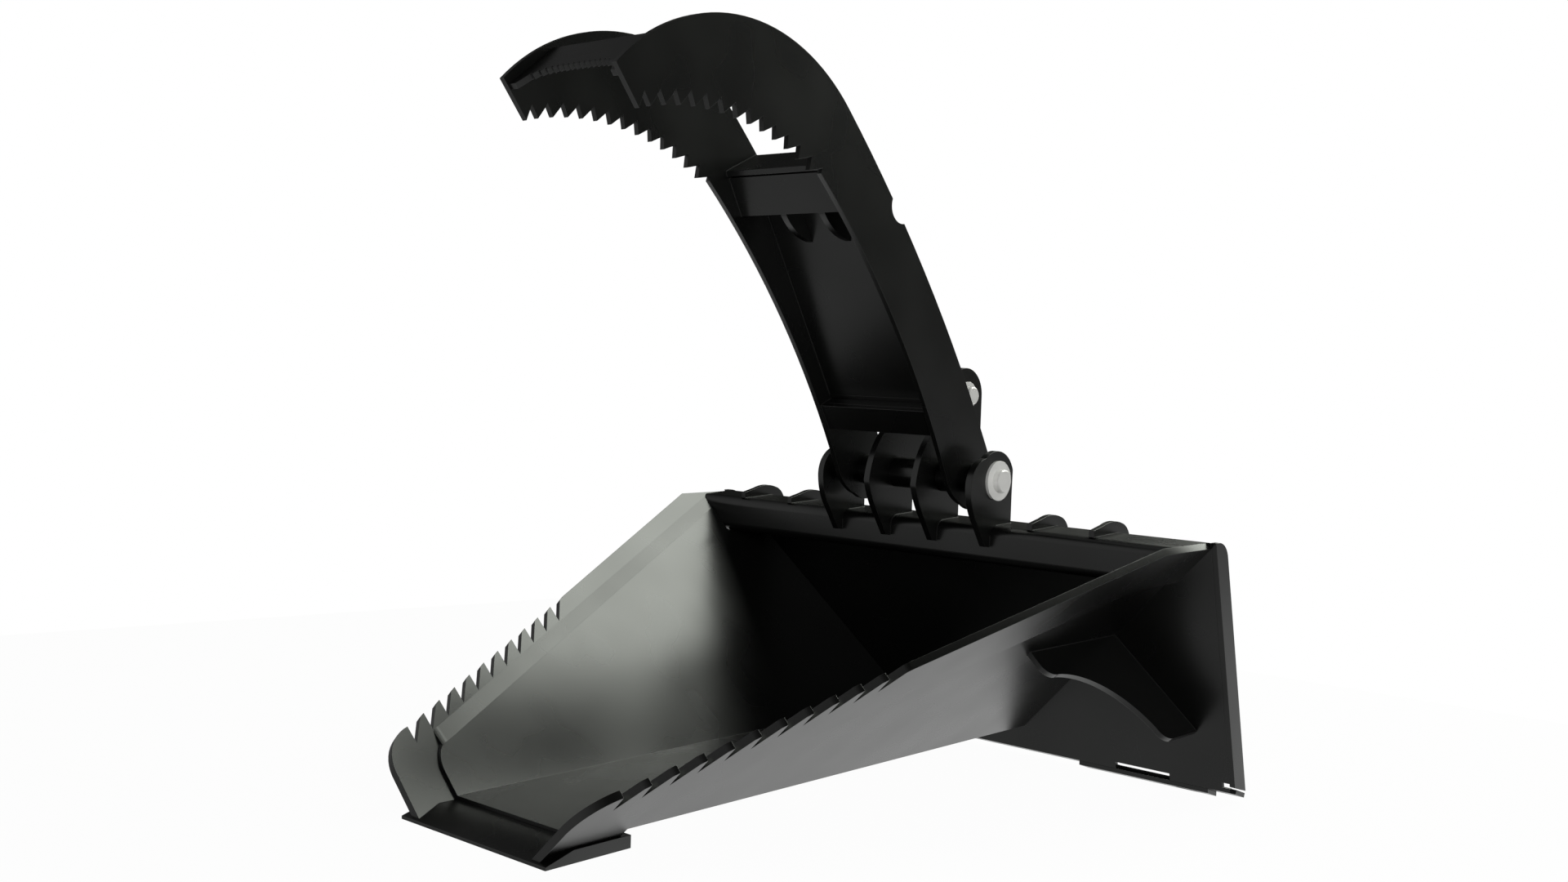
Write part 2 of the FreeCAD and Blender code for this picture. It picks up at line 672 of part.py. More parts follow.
def make_barrel():
    """Barrel with its two ports, base eye and gland."""
    way, _ = cylinder_line()
    rear = V(0, way.z, -way.y)
    solid = turned(barrel_radius, barrel_start, barrel_end)
    bosses = []
    bores = [turned(bore_radius, barrel_start, barrel_end)]
    for along in (barrel_start + cap_length + port_inset[0], barrel_end - gland_length - port_inset[1]):
        spot = V(0, *base_pivot) + way * along
        bosses.append(Part.makeCylinder(port_boss, barrel_radius + port_rise, spot, rear))
        bores.append(Part.makeCylinder(port_radius, barrel_radius + port_rise, spot, rear))
    keep("cylinder_barrel", solid.cut(bores))
    keep("cylinder_ports", Part.makeCompound(bosses).cut(solid).cut(Part.makeCompound(bores)))
    cap = turned(bore_radius, barrel_start, barrel_start + cap_length)
    neck = turned(barrel_radius - neck_inset, 0, barrel_start)
    eye = rod_x(base_pivot, eye_radius, -base_eye_half, base_eye_half)
    end = cap.fuse([neck, eye]).cut(rod_x(base_pivot, base_pin_radius + running_fit, -beyond, beyond))
    keep("cylinder_base_eye", end.removeSplitter())
    gland = turned(bore_radius, barrel_end - gland_length, barrel_end)
    gland = gland.fuse(turned(barrel_radius, barrel_end, barrel_end + gland_flange))
    keep("cylinder_gland", gland.cut(turned(rod_radius + running_fit, 0, beyond)).removeSplitter())


def make_rod():
    """Piston, rod and rod eye, with the pin that the eye carries."""
    _, length = cylinder_line()
    start = barrel_start + cap_length + piston_start
    keep("piston", turned(bore_radius - running_fit, start, start + piston_length))
    eye = rod_x(rod_pivot, eye_radius, -rod_eye_half, rod_eye_half)
    keep("cylinder_rod", turned(rod_radius, start + piston_length, length).cut(eye))
    keep("rod_eye", eye.cut(rod_x(rod_pivot, rod_pin_radius, -beyond, beyond)))
    keep("rod_pin", pin(rod_pivot, rod_pin_radius, rod_pin_end))
    face = rod_lug_x + rod_lug_thick / 2 + side_gap
    keep("rod_pin_collars",
         both(tube_x(rod_pivot, rod_collar_radius, rod_pin_radius, face, face + collar_thick)))


def stand():
    """Turn the tool to stand on its cutting edge and lock pads, and centre it over the origin."""
    heel = V(0, 0, -blade_thick)
    rise = max(math.atan2(heel.z - v.Z, v.Y - heel.y) for v in parts["lock_pads"].Vertexes)
    everything = FreeCAD.BoundBox()
    for shape in parts.values():
        shape.rotate(heel, V(1, 0, 0), math.degrees(rise))
        everything.add(shape.optimalBoundingBox())
    move = V(0, -(everything.YMin + everything.YMax) / 2, -everything.ZMin)
    for shape in parts.values():
        shape.translate(move)
    return math.degrees(rise), move


def build():
    """Make every piece and write one file for each."""
    make_shell()
    make_side_plates()
    make_blade()
    make_crossbar()
    make_attach_plate()
    make_ribs()
    make_gussets()
    make_lugs()
    make_pins()
    make_jaw_sides()
    make_tip_plate()
    make_jaw_cross_plates()
    make_hubs()
    make_barrel()
    make_rod()
    rise, move = stand()
    os.makedirs("parts", exist_ok=True)
    for name, shape in parts.items():
        shape.exportStep("parts/" + name + ".step")
        print(name, "solids", len(shape.Solids), "valid", shape.isValid(), "volume", round(shape.Volume))
    print("turned by", round(rise, 4), "degrees, then moved by", move)


build()
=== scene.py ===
# %% [markdown]
# # A stump grapple, finished for a studio picture
# The object is a narrow V-shaped bucket that digs stumps out of the ground, with a curved jaw above it
# that clamps them. The welded plates, pins and cylinder come ready-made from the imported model. This
# script gives every one of them its finish: satin black paint with softened edges, bright turned pins,
# thin weld beads where the plates meet, and the light and floor of a plain studio.

# %% Load the model
import math

import bmesh
import bpy
from mathutils import Matrix, Vector
from mathutils.bvhtree import BVHTree


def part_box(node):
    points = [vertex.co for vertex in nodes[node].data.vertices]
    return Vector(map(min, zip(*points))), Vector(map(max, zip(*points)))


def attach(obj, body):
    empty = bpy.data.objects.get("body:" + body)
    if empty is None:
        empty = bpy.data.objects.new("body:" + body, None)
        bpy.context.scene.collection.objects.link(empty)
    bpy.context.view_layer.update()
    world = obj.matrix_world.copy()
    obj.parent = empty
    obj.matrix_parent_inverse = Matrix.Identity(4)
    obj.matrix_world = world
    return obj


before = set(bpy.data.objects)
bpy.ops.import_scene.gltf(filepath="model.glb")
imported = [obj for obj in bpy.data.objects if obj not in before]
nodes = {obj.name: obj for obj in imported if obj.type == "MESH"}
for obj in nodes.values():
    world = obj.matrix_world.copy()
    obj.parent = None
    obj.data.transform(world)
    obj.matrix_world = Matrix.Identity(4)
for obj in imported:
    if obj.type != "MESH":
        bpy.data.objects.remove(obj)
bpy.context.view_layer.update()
print("pieces in the model:", len(nodes))

# %% [markdown]
# ## The camera
# The photograph looks at the tool from the front right corner, from a little above the jaw's pivot, with
# a fairly wide lens. The camera's place was worked out from the tool's straight edges. Its three
# directions are written out, because they hold a slight roll that aiming at a point would lose.

# %% Camera
eye = Vector((1.8110, -2.00816, 0.64019))
look = Vector((-0.66980, 0.74207, -0.02476))
camera_right = Vector((0.74020, 0.67002, 0.05708))
lens_mm = 37.5
sensor_mm = 36.0

camera_data = bpy.data.cameras.new("camera")
camera_data.lens = lens_mm
camera_data.sensor_width = sensor_mm
camera = bpy.data.objects.new("camera", camera_data)
back = look.normalized() * -1
side = (camera_right - back * camera_right.dot(back)).normalized()
top = back.cross(side)
camera.matrix_world = Matrix((
    (side.x, top.x, back.x, eye.x),
    (side.y, top.y, back.y, eye.y),
    (side.z, top.z, back.z, eye.z),
    (0, 0, 0, 1),
))
bpy.context.scene.collection.objects.link(camera)
bpy.context.scene.camera = camera
bpy.context.scene.view_settings.view_transform = "Standard"
print("camera at", [round(v, 3) for v in eye])

# %% [markdown]
# ## Helpers for nodes
# Every finish is a small tree of nodes, and so is a geometry tree. One helper feeds a node's inputs, with
# values or with links. The others stand on it: they place a node, work out a sum, or stretch one range
# of values over another. With them a material reads as a short list of steps.


# %% Node helpers
def feed(tree, node, inputs):
    """Give a node's inputs plain values, or links from other nodes' sockets."""
    for name, value in inputs.items():
        if isinstance(value, bpy.types.NodeSocket):
            tree.links.new(value, node.inputs[name])
        else:
            node.inputs[name].default_value = value


def place(tree, kind, inputs=None, **settings):
    """Add a node, set its properties and feed its inputs."""
    node = tree.nodes.new(kind)
    for name, value in settings.items():
        setattr(node, name, value)
    feed(tree, node, inputs or {})
    return node


def calc(tree, operation, *values, **settings):
    """A Math node's result."""
    return place(tree, "ShaderNodeMath", dict(enumerate(values)), operation=operation, **settings).outputs[0]


def remap(tree, value, start, end, to_start, to_end, **settings):
    """A value's range stretched over another range, and held at its ends."""
    limits = {"Value": value, "From Min": start, "From Max": end, "To Min": to_start, "To Max": to_end}
    return place(tree, "ShaderNodeMapRange", limits, **settings).outputs[0]


print("node helpers are ready")

# %% [markdown]
# ## Helpers for materials
# An effect that several materials share is a node group with its own inputs and outputs. Every metal and
# paint here then ends in the same way: a Principled shader whose gloss and bump come from such a group.

# %% Material helpers
FLOAT = "NodeSocketFloat"


def new_group(name, inputs, outputs):
    """A shader node group, with its input and output nodes."""
    group = bpy.data.node_groups.new(name, "ShaderNodeTree")
    for label, value in inputs.items():
        group.interface.new_socket(label, in_out="INPUT", socket_type=FLOAT).default_value = value
    for label in outputs:
        group.interface.new_socket(label, in_out="OUTPUT", socket_type=FLOAT)
    return group, group.nodes.new("NodeGroupInput"), group.nodes.new("NodeGroupOutput")


def new_material(name):
    """A material with an empty node tree."""
    material = bpy.data.materials.new(name)
    material.use_nodes = True
    material.node_tree.nodes.clear()
    return material, material.node_tree


def coat_with(tree, colour, grain, roughness, metallic, bump_strength, bump_depth):
    """End a material in a shader that takes its gloss and bump from a grain group."""
    bump = place(tree, "ShaderNodeBump", {"Height": grain.outputs["Height"], "Strength": bump_strength,
                                          "Distance": bump_depth})
    shader = place(tree, "ShaderNodeBsdfPrincipled", {
        "Base Color": colour, "Metallic": metallic, "Normal": bump.outputs["Normal"],
        "Roughness": calc(tree, "ADD", grain.outputs["Roughness Shift"], roughness)})
    place(tree, "ShaderNodeOutputMaterial", {"Surface": shader.outputs[0]})


print("material helpers are ready")

# %% [markdown]
# ## Paint grain, shared by every painted piece
# Sprayed paint is never quite flat. It has a fine ripple, called orange peel, and large soft clouds where
# the coat is a little thicker. Both come from noise in the object's own coordinates, so they stay in
# place on the steel. The noise has few octaves, because finer ones would show as specks that the clean
# paint in the picture doesn't have. A trace of dust lies on faces that look up.

# %% Paint grain group
cloud_scale = 5.0
smear_scale = 9.0
noise_low, noise_high = 0.3, 0.7

paint_grain, given, result = new_group(
    "paint_grain", {"Clouds": 0.15, "Ripple Size": 0.003, "Dust": 0.0},
    ("Shade", "Roughness Shift", "Height", "Dust Mask"))
spot = place(paint_grain, "ShaderNodeTexCoord").outputs["Object"]
clouds = place(paint_grain, "ShaderNodeTexNoise", {"Vector": spot, "Scale": cloud_scale, "Detail": 1.0})
grade = remap(paint_grain, clouds.outputs["Fac"], noise_low, noise_high, -1.0, 1.0)
frequency = calc(paint_grain, "DIVIDE", 1.0, given.outputs["Ripple Size"])
ripple = place(paint_grain, "ShaderNodeTexNoise", {"Vector": spot, "Scale": frequency, "Detail": 0.0})
smear = place(paint_grain, "ShaderNodeTexNoise", {"Vector": spot, "Scale": smear_scale, "Detail": 1.0})
outward = place(paint_grain, "ShaderNodeNewGeometry").outputs["Normal"]
upward = place(paint_grain, "ShaderNodeSeparateXYZ", {"Vector": outward}).outputs["Z"]
lying = remap(paint_grain, upward, 0.2, 1.0, 0.0, 1.0)
patchy = calc(paint_grain, "MULTIPLY", lying, smear.outputs["Fac"])
feed(paint_grain, result, {
    "Shade": calc(paint_grain, "MULTIPLY_ADD", grade, given.outputs["Clouds"], 1.0),
    "Roughness Shift": remap(paint_grain, smear.outputs["Fac"], noise_low, noise_high, -0.02, 0.025),
    "Height": ripple.outputs["Fac"],
    "Dust Mask": calc(paint_grain, "MULTIPLY", patchy, given.outputs["Dust"], use_clamp=True),
})
print("paint grain has", len(paint_grain.nodes), "nodes")

# %% [markdown]
# ## Satin black paint
# In the picture the paint behaves like a dark metal: faces that mirror the bright floor behind the tool
# or the lamp above it turn silver grey, and faces that mirror the dark front of the room are nearly
# black. So the paint is made as a dark metal with a middling roughness. The edge version is the same
# paint, a little rougher, with its grey made lighter as a painted highlight along the softened edges.

# %% Paint material
dust_colour = (0.23, 0.21, 0.18, 1)
green_share = 1.015
mix_a, mix_b, mix_result = 6, 7, 2   # the places of a Mix node's colour sockets


def make_paint(name, grey, roughness, metallic, dust):
    """Satin paint with grain, clouds and a trace of dust on faces that look up."""
    material, tree = new_material(name)
    grain = place(tree, "ShaderNodeGroup", {"Clouds": 0.05, "Ripple Size": 0.006, "Dust": dust},
                  node_tree=paint_grain)
    coat = place(tree, "ShaderNodeMix", {"Factor": grain.outputs["Dust Mask"], mix_b: dust_colour,
                                         mix_a: (grey, grey * green_share, grey, 1)}, data_type="RGBA")
    tinted = place(tree, "ShaderNodeVectorMath", {0: coat.outputs[mix_result],
                                                  "Scale": grain.outputs["Shade"]}, operation="SCALE")
    coat_with(tree, tinted.outputs[0], grain, roughness, metallic, bump_strength=0.01, bump_depth=0.0003)
    return material


plate_paint = make_paint("black_plate_paint", grey=0.115, roughness=0.28, metallic=0.98, dust=0.02)
# the edge paint's grey is lighter than the plate paint's: a painted highlight along the rounded edges
edge_highlight_paint = make_paint("black_edge_highlight_paint", grey=0.15, roughness=0.36, metallic=0.97, dust=0.0)
cylinder_paint = make_paint("cylinder_paint", grey=0.10, roughness=0.28, metallic=0.96, dust=0.02)
print("paints:", plate_paint.name, edge_highlight_paint.name, cylinder_paint.name)

# %% [markdown]
# ## Bright turned steel
# The pins and their collars are bare steel from the lathe. The tool leaves fine rings round the pin's
# axis, which lies along X, so the rings are drawn by the distance from that axis. Each pin needs its
# own centre, read from the model, which is why the material is made by a function.

# %% Rings of the lathe
stain_scale = 60.0

turned_rings, given, result = new_group(
    "turned_rings", {"Axis Y": 0.0, "Axis Z": 0.0, "Ring Width": 0.0006}, ("Height", "Roughness Shift"))
spot = place(turned_rings, "ShaderNodeTexCoord").outputs["Object"]
split = place(turned_rings, "ShaderNodeSeparateXYZ", {"Vector": spot})
away = place(turned_rings, "ShaderNodeCombineXYZ", {
    letter: calc(turned_rings, "SUBTRACT", split.outputs[letter], given.outputs["Axis " + letter])
    for letter in "YZ"})
reach = place(turned_rings, "ShaderNodeVectorMath", {0: away.outputs[0]}, operation="LENGTH")
both_ways = calc(turned_rings, "ADD", reach.outputs["Value"], split.outputs["X"])
count = calc(turned_rings, "DIVIDE", both_ways, given.outputs["Ring Width"])
along = place(turned_rings, "ShaderNodeCombineXYZ", {"X": count})
rings = place(turned_rings, "ShaderNodeTexNoise", {"Vector": along.outputs[0], "Scale": 1.0, "Detail": 3.0})
stains = place(turned_rings, "ShaderNodeTexNoise", {"Vector": spot, "Scale": stain_scale, "Detail": 4.0})
feed(turned_rings, result, {
    "Height": rings.outputs["Fac"],
    "Roughness Shift": remap(turned_rings, stains.outputs["Fac"], 0.0, 1.0, -0.05, 0.08),
})
print("turned rings have", len(turned_rings.nodes), "nodes")


# %% Turned steel
def make_turned(name, colour, roughness, axis_node):
    """Bare metal turned about the axis of one of the model's pins."""
    low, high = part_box(axis_node)
    material, tree = new_material(name)
    centre = {"Axis Y": (low[1] + high[1]) / 2, "Axis Z": (low[2] + high[2]) / 2}
    marks = place(tree, "ShaderNodeGroup", centre, node_tree=turned_rings)
    coat_with(tree, (*colour, 1), marks, roughness, metallic=0.4, bump_strength=0.01, bump_depth=0.0003)
    return material


bright = (0.86, 0.86, 0.85)
bright_roughness = 0.24
jaw_pin_steel = make_turned("jaw_pin_steel", bright, bright_roughness, "jaw_pin")
base_pin_steel = make_turned("base_pin_steel", bright, bright_roughness, "base_pin")
rod_pin_steel = make_turned("rod_pin_steel", bright, bright_roughness, "rod_pin")
jaw_bronze = make_turned("jaw_bush_bronze", (0.62, 0.42, 0.20), 0.35, "jaw_pin")
print("turned:", jaw_pin_steel.name, base_pin_steel.name, rod_pin_steel.name, jaw_bronze.name)

# %% [markdown]
# ## Chrome and machined steel
# The piston rod is hard chromed and polished. The gland and piston are plain machined steel. Neither has
# a marked direction at this distance, so soft noise in the roughness and a faint bump are enough.


# %% Plain finishes
def make_plain(name, colour, roughness, grain_size, grain_depth):
    """Bare metal with fine even grain and slightly uneven gloss."""
    material, tree = new_material(name)
    grain = place(tree, "ShaderNodeGroup", {"Clouds": 0.05, "Ripple Size": grain_size, "Dust": 0.0},
                  node_tree=paint_grain)
    tinted = place(tree, "ShaderNodeVectorMath", {0: colour, "Scale": grain.outputs["Shade"]},
                   operation="SCALE")
    coat_with(tree, tinted.outputs[0], grain, roughness, metallic=1.0, bump_strength=0.1,
              bump_depth=grain_depth)
    return material


rod_chrome = make_plain("rod_chrome", (0.9, 0.9, 0.91), roughness=0.09, grain_size=0.0008,
                        grain_depth=0.00005)
machined = make_plain("machined_steel", (0.5, 0.5, 0.5), roughness=0.34, grain_size=0.0006,
                      grain_depth=0.0002)
print("plain:", rod_chrome.name, machined.name)

# %% [markdown]
# ## Softened edges
# Cut steel never has a knife edge. Grinding and paint round it by about half a millimetre, and that
# narrow round catches a thin line of light along a plate. The model's own mesh stays as it is, and
# modifiers on top weld its triangles together, merge flat ones and bevel the corners. The bevel puts
# its faces in the second material slot, so that edges take the edge paint, whose lighter grey is a painted
# highlight.

# %% Edge rounding
same_point = 0.00001
flat_angle = math.radians(0.6)
bevel_angle = math.radians(28)


def soften(node, width):
    """Weld, flatten and bevel a piece with modifiers, leaving its own mesh alone."""
    weld = node.modifiers.new("weld", "WELD")
    weld.merge_threshold = same_point
    merge = node.modifiers.new("flats", "DECIMATE")
    merge.decimate_type = "DISSOLVE"
    merge.angle_limit = flat_angle
    bevel = node.modifiers.new("edges", "BEVEL")
    bevel.width = width
    bevel.segments = 2
    bevel.limit_method = "ANGLE"
    bevel.angle_limit = bevel_angle
    bevel.harden_normals = False
    # bevel faces take the second slot, the lighter paint that is a painted highlight
    bevel.material = 1
    node.modifiers.new("shading", "WEIGHTED_NORMAL").keep_sharp = False


print("edges bevel from", round(math.degrees(bevel_angle)), "degrees")

# %% [markdown]
# ## Giving each piece its finish
# Most pieces are painted plates. The pins, the bushes and the parts of the cylinder have finishes of their
# own, on their edges too. A plate thinner than five millimetres gets the finer rounding.

# %% Finish the model's pieces
edge_round = 0.0005
fine_round = 0.0003
thin_plate = 0.005
special = {
    "jaw_pin": jaw_pin_steel,
    "jaw_pin_collars": jaw_pin_steel,
    "base_pin": base_pin_steel,
    "base_pin_collars": base_pin_steel,
    "rod_pin": rod_pin_steel,
    "rod_pin_collars": rod_pin_steel,
    "jaw_bushes": jaw_bronze,
    "cylinder_rod": rod_chrome,
    "cylinder_gland": machined,
    "piston": machined,
    "cylinder_barrel": cylinder_paint,
    "cylinder_ports": cylinder_paint,
}

for name, node in nodes.items():
    node.data.materials.clear()
    node.data.materials.append(special.get(name, plate_paint))
    # the second slot, on bevel faces, holds the lighter edge paint: a painted highlight
    node.data.materials.append(special.get(name, edge_highlight_paint))
    low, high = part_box(name)
    thickness = min(high[i] - low[i] for i in range(3))
    soften(node, edge_round if thickness > thin_plate else fine_round)
print("finished", len(nodes), "pieces")

# %% [markdown]
# ## Weld beads
# The plates are joined by fillet welds. A weld lies in the corner where one plate's edge meets another
# plate's face, and its fine ripples are the steps of the welder's hand. A small tree of geometry nodes
# runs along those edges and sweeps a round whose radius swells and shrinks by a sine. The beads are
# thin and dull, because the corners look clean in the picture.

# %% Weld tree
bead_sides = 8
steps_per_ripple = 4

bead_tree = bpy.data.node_groups.new("weld_bead", "GeometryNodeTree")
bead_tree.interface.new_socket("Edges", in_out="INPUT", socket_type="NodeSocketGeometry")
bead_inputs = {}
for label, kind in (("Radius", FLOAT), ("Pitch", FLOAT), ("Ripple", FLOAT), ("Paint", "NodeSocketMaterial")):
    socket = bead_tree.interface.new_socket(label, in_out="INPUT", socket_type=kind)
    bead_inputs[label] = socket.identifier
bead_tree.interface.new_socket("Beads", in_out="OUTPUT", socket_type="NodeSocketGeometry")
given = bead_tree.nodes.new("NodeGroupInput")
result = bead_tree.nodes.new("NodeGroupOutput")
line = place(bead_tree, "GeometryNodeMeshToCurve", {"Mesh": given.outputs["Edges"]})
step = calc(bead_tree, "MULTIPLY", given.outputs["Pitch"], 1 / steps_per_ripple)
fine = place(bead_tree, "GeometryNodeResampleCurve", {"Curve": line.outputs[0], "Length": step},
             mode="LENGTH")
gone = bead_tree.nodes.new("GeometryNodeSplineParameter").outputs["Length"]
turns = calc(bead_tree, "DIVIDE", gone, given.outputs["Pitch"])
wave = calc(bead_tree, "SINE", calc(bead_tree, "MULTIPLY", turns, math.tau))
swell = calc(bead_tree, "MULTIPLY_ADD", wave, given.outputs["Ripple"], 1.0)
ring = place(bead_tree, "GeometryNodeCurvePrimitiveCircle", {"Resolution": bead_sides, "Radius": 1.0})
swept = place(bead_tree, "GeometryNodeCurveToMesh", {
    "Curve": fine.outputs[0], "Scale": calc(bead_tree, "MULTIPLY", swell, given.outputs["Radius"]),
    "Profile Curve": ring.outputs["Curve"], "Fill Caps": True})
smooth = place(bead_tree, "GeometryNodeSetShadeSmooth", {"Geometry": swept.outputs[0]})
whole = place(bead_tree, "GeometryNodeRealizeInstances", {"Geometry": smooth.outputs[0]})
painted = place(bead_tree, "GeometryNodeSetMaterial",
                {"Geometry": whole.outputs[0], "Material": given.outputs["Paint"]})
feed(bead_tree, result, {"Beads": painted.outputs[0]})
print("weld tree has", len(bead_tree.nodes), "nodes")

# %% [markdown]
# ## Where the welds lie
# The corners are found on the model itself. A copy of each piece's mesh is merged first, because the
# model's own triangles are loose. Then every sharp edge of the piece is tested: it is welded where its
# middle touches the surface of the plate that it stands on.

# %% Weld paths
corner_angle = math.radians(50)
contact = 0.0006
shortest_weld = 0.002


def merged(name):
    """A copy of a model piece with its triangles joined and flat ones dissolved."""
    work = bmesh.new()
    work.from_mesh(nodes[name].data)
    bmesh.ops.remove_doubles(work, verts=work.verts, dist=same_point)
    bmesh.ops.dissolve_limit(work, angle_limit=flat_angle, verts=work.verts, edges=work.edges)
    work.normal_update()
    return work


def corners(name, others):
    """Sharp edges of one piece that touch the surface of the others."""
    found = []
    work = merged(name)
    for other in others:
        base = merged(other)
        surface = BVHTree.FromBMesh(base)
        base.free()
        for edge in work.edges:
            if len(edge.link_faces) != 2 or edge.calc_face_angle(0) < corner_angle:
                continue
            a, b = (v.co.copy() for v in edge.verts)
            gap = surface.find_nearest((a + b) / 2)[3]
            if gap is not None and gap < contact and (b - a).length > shortest_weld:
                found.append((a, b))
    work.free()
    return found


bar_pieces = ["hinge_lug_outer_right", "hinge_lug_outer_left", "hinge_lug_inner_right",
              "hinge_lug_inner_left", "top_ribs"]
bar_welds = [pair for name in bar_pieces for pair in corners(name, ["crossbar"])]
gusset_welds = []
for hand in ("right", "left"):
    gusset_welds += corners("gusset_" + hand, ["bucket_shell", "side_plate_" + hand, "attach_plate"])
jaw_plates = ["jaw_upper_cross_plate", "jaw_upper_closing_plate", "jaw_lower_cross_plate",
              "jaw_shelf_plate", "jaw_web_plate"]
jaw_welds = [pair for name in jaw_plates for pair in corners(name, ["jaw_side_right", "jaw_side_left"])]
print("welded edges:", len(bar_welds), "on the bar,", len(gusset_welds), "on gussets,", len(jaw_welds),
      "in the jaw")

# %% [markdown]
# ## Laying the beads
# The edges become a mesh of lines, the tree sweeps it, and the result is kept as a plain mesh. Each group
# of beads rides on the body that its plates belong to.

# %% Beads
bead_ripple = 0.12
bead_pitch = 0.0034
plate_bead = 0.0013
gusset_bead = 0.0011
bead_join = 0.00002
weld_paint = make_paint("weld_paint", grey=0.07, roughness=0.55, metallic=0.9, dust=0.0)


def put_in_scene(title, mesh):
    """Show a mesh as an object of its own."""
    piece = bpy.data.objects.new(title, mesh)
    bpy.context.scene.collection.objects.link(piece)
    return piece


def lay_beads(title, pairs, radius, body):
    """Sweep beads along edges, as one plain mesh that rides on the body."""
    work = bmesh.new()
    for a, b in pairs:
        work.edges.new((work.verts.new(a), work.verts.new(b)))
    bmesh.ops.remove_doubles(work, verts=work.verts, dist=bead_join)
    paths = bpy.data.meshes.new(title + "_paths")
    work.to_mesh(paths)
    work.free()
    carrier = put_in_scene(title + "_paths", paths)
    sweep = carrier.modifiers.new("beads", "NODES")
    sweep.node_group = bead_tree
    values = {"Radius": radius, "Pitch": bead_pitch, "Ripple": bead_ripple, "Paint": weld_paint}
    for label, value in values.items():
        sweep[bead_inputs[label]] = value
    bpy.context.view_layer.update()
    seen = carrier.evaluated_get(bpy.context.evaluated_depsgraph_get())
    mesh = bpy.data.meshes.new_from_object(seen)
    mesh.name = title
    bpy.data.objects.remove(carrier)
    beads = put_in_scene(title, mesh)
    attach(beads, body)
    print(title, "faces", len(mesh.polygons))


lay_beads("crossbar_welds", bar_welds, plate_bead, "bucket")
lay_beads("gusset_welds", gusset_welds, gusset_bead, "bucket")
lay_beads("jaw_welds", jaw_welds, plate_bead, "jaw")

# %% [markdown]
# ## Helpers for closed forms
# Two small pieces that follow are prisms: a like outline at both ends, joined by flat sides. Blender is
# asked to turn all faces outwards at the end, so the order of the corners doesn't matter.


# %% Prism helpers
def add_prism(work, first, last):
    """Close the space between two like outlines with flat sides and two ends."""
    first, last = ([work.verts.new(co) for co in outline] for outline in (first, last))
    for i in range(len(first)):
        j = (i + 1) % len(first)
        work.faces.new((first[i], first[j], last[j], last[i]))
    work.faces.new(first)
    work.faces.new(last)


def closed_mesh(title, work, paints):
    """A painted mesh of closed forms whose faces point outwards."""
    bmesh.ops.recalc_face_normals(work, faces=work.faces)
    mesh = bpy.data.meshes.new(title)
    work.to_mesh(mesh)
    work.free()
    for paint in paints:
        mesh.materials.append(paint)
    return mesh


print("prism helpers are ready")

# %% [markdown]
# ## The blend along the liner
# The inner wall ends below the teeth, on the thicker side plate. In the photograph no step shows along
# that edge, so it gets a long taper. The taper is a wedge along each flat of the wall's upper edge: full
# height at the wall, and nothing where it meets the side plate.

# %% Liner blend
taper_width = 0.026
overlap = 0.0015
sink = 0.0003
above_floor = 0.05
leans_inward = -0.4
bar_front_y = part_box("crossbar")[0][1]


def is_wall_edge(face):
    """Whether a face of the shell is a flat of one wall's upper edge, in front of the crossbar."""
    middle = face.calc_center_median()
    looks_up = face.normal.z >= 0.5 and abs(face.normal.x) <= 0.1
    return looks_up and middle.z >= above_floor and middle.y <= bar_front_y and len(face.verts) == 4


def wall_beside(face, hand):
    """The outward direction of the wall's inner face, which leans towards the middle of the trough."""
    sides = {f for e in face.edges for f in e.link_faces if f.normal.x * hand < leans_inward}
    return max(sides, key=lambda f: f.calc_area()).normal


shell = merged("bucket_shell")
wedge = bmesh.new()
for face in filter(is_wall_edge, shell.faces):
    front_to_rear = sorted((v.co for v in face.verts), key=lambda co: co.y)
    hand = 1 if face.calc_center_median().x > 0 else -1
    wall = wall_beside(face, hand)
    uphill = (Vector((0, 0, 1)) - wall * wall.z).normalized()
    ends = []
    for pair in (front_to_rear[:2], front_to_rear[2:]):
        inner, outer = sorted(pair, key=lambda co: abs(co.x))
        ends.append((inner - uphill * overlap + wall * sink, outer - wall * sink,
                     outer + uphill * taper_width - wall * sink))
    add_prism(wedge, *ends)
shell.free()
liner_blend = put_in_scene("liner_blend", closed_mesh("liner_blend", wedge, [plate_paint]))
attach(liner_blend, "bucket")
print("liner blend faces", len(liner_blend.data.polygons))

# %% [markdown]
# ## The strip under the web plate
# The web plate's lower end is closed against the shelf below it. A narrow strip across the jaw does that,
# with its edges softened like those of every other plate. Its outline is given in the side view, in
# metres.

# %% Web strip
strip_outline = ((0.2447, 0.6560), (0.2530, 0.6611), (0.2549, 0.6440), (0.2500, 0.6475))
jaw_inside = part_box("jaw_web_plate")[1][0]
strip = bmesh.new()
add_prism(strip, *([(x, y, z) for y, z in strip_outline] for x in (-jaw_inside, jaw_inside)))
web_strip = put_in_scene("web_strip", closed_mesh("web_strip", strip, [plate_paint, edge_highlight_paint]))
soften(web_strip, fine_round)
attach(web_strip, "jaw")
print("web strip spans", round(2 * jaw_inside, 4), "m")

# %% [markdown]
# ## The floor
# The floor is a white sheet under the tool. The camera sees it glow in plain white, so that it melts into
# the white room, but a small share of it stays an ordinary surface that keeps the tool's soft shadow. The
# steel doesn't see the sheet: what it mirrors is set by the room below.

# %% Floor
glow_share = 0.97
floor_grey = 0.85
floor_reach = 2.0

floor_white, tree = new_material("floor_white")
path = tree.nodes.new("ShaderNodeLightPath")
matt = place(tree, "ShaderNodeBsdfDiffuse", {"Color": (floor_grey, floor_grey, floor_grey, 1)})
glow = place(tree, "ShaderNodeEmission", {"Color": (1, 1, 1, 1), "Strength": 1.0})
mixed = place(tree, "ShaderNodeMixShader", {
    0: calc(tree, "MULTIPLY", path.outputs["Is Camera Ray"], glow_share),
    1: matt.outputs[0], 2: glow.outputs[0]})
place(tree, "ShaderNodeOutputMaterial", {"Surface": mixed.outputs[0]})

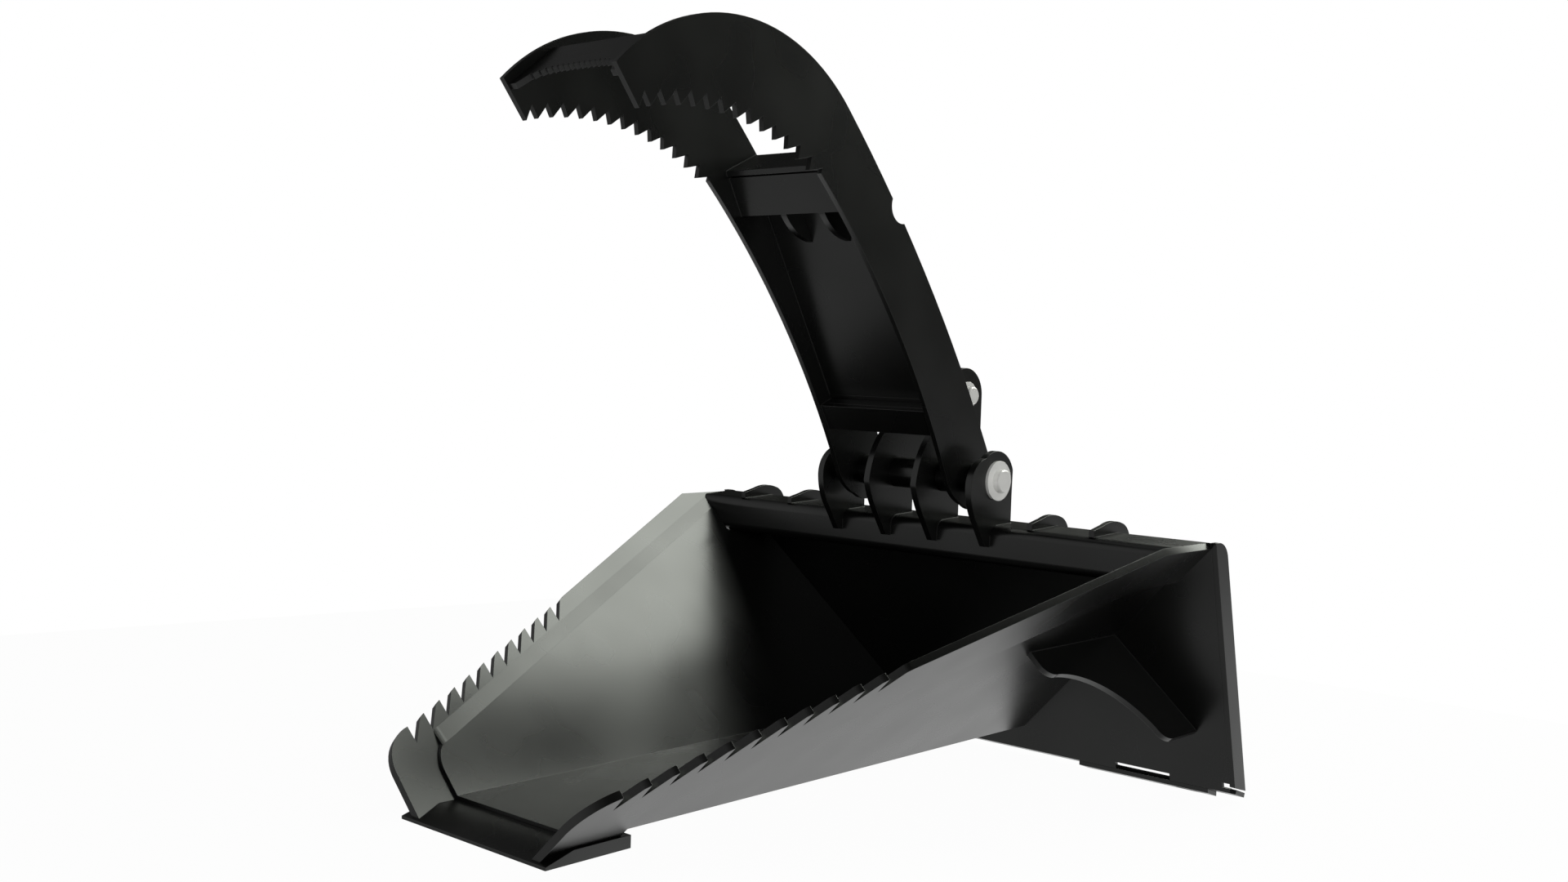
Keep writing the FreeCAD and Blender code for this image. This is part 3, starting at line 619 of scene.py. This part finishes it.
sheet = bpy.data.meshes.new("floor")
sheet.from_pydata([(-floor_reach, -floor_reach, 0), (floor_reach, -floor_reach, 0),
                   (floor_reach, floor_reach, 0), (-floor_reach, floor_reach, 0)], [], [(0, 1, 2, 3)])
sheet.materials.append(floor_white)
floor = put_in_scene("floor", sheet)
floor.visible_glossy = False
print("floor is", 2 * floor_reach, "m square")

# %% [markdown]
# ## The room
# To the camera the room is plain white all round. What the steel mirrors is worked out from the
# photograph: faces that look down and back are silver grey, so the room is white there, as a floor would
# be that a lamp at the rear lights. Towards the front that floor fades to dark grey, and above the horizon
# the room is nearly black, with a weak glow at the front left. All of it is a smooth function of
# direction, so it needs no extra lamps and makes no noise.

# %% Room
sky_dim, sky_glow = 0.004, 0.21
glow_from = Vector((-0.67, -0.74, 0.1)).normalized()
ground_front, ground_rear = 0.2, 0.8
white_from = Vector((-0.15, 0.74, -0.67)).normalized()
fade_starts, fade_ends = 0.25, 0.9
horizon_fade = -0.15
level_a, level_b = 2, 3   # the places of a Mix node's number sockets

world = bpy.data.worlds.new("room")
world.use_nodes = True
room = world.node_tree
room.nodes.clear()
path = room.nodes.new("ShaderNodeLightPath")
heading = place(room, "ShaderNodeTexCoord").outputs["Generated"]
height = place(room, "ShaderNodeSeparateXYZ", {"Vector": heading}).outputs["Z"]
to_glow, to_white = (
    place(room, "ShaderNodeVectorMath", {0: heading, 1: tuple(target)},
          operation="DOT_PRODUCT").outputs["Value"]
    for target in (glow_from, white_from))
soft = {"interpolation_type": "SMOOTHSTEP"}
sky = remap(room, to_glow, 0.0, 1.0, sky_dim, sky_glow, **soft)
ground = remap(room, to_white, fade_starts, fade_ends, ground_front, ground_rear, **soft)
below = remap(room, height, 0.0, horizon_fade, 0.0, 1.0, **soft)
level = place(room, "ShaderNodeMix", {"Factor": below, level_a: sky, level_b: ground}, data_type="FLOAT")
shown = place(room, "ShaderNodeMix", {"Factor": path.outputs["Is Camera Ray"], level_a: level.outputs[0],
                                      level_b: 1.0}, data_type="FLOAT")
air = place(room, "ShaderNodeBackground", {"Color": (1, 1, 1, 1), "Strength": shown.outputs[0]})
place(room, "ShaderNodeOutputWorld", {"Surface": air.outputs[0]})
bpy.context.scene.world = world
print("room has", len(room.nodes), "nodes")

# %% [markdown]
# ## The lamps
# A wide soft lamp high behind the tool makes the silver sheen on the trough's wall and the bright edges of
# the plates. A small one at the right lights the bare ends of the pins. The small one is hidden from
# mirror rays, because the flat side of the jaw would show it as a white patch.


# %% Lamps
def hang_lamp(name, place_at, aim_at, width, height, watts, tint):
    """A soft rectangular lamp turned towards a point."""
    data = bpy.data.lights.new(name, "AREA")
    data.shape = "RECTANGLE"
    data.size = width
    data.size_y = height
    data.energy = watts
    data.color = tint
    lamp = bpy.data.objects.new(name, data)
    aim = (Vector(aim_at) - Vector(place_at)).to_track_quat("-Z", "Y").to_matrix().to_4x4()
    lamp.matrix_world = Matrix.Translation(place_at) @ aim
    bpy.context.scene.collection.objects.link(lamp)
    return lamp


hang_lamp("rear_softbox", place_at=(0.25, 4.0, 3.9), aim_at=(0.1, 0.2, 0.3), width=4.3, height=5.2,
          watts=225, tint=(0.97, 1.0, 0.93))
fill = hang_lamp("right_fill", place_at=(3.0, -1.25, 0.95), aim_at=(0.2, 0.2, 0.5), width=1.2, height=1.2,
                 watts=80, tint=(1.0, 1.0, 0.97))
fill.visible_glossy = False
print("lamps:", len(bpy.data.lights))
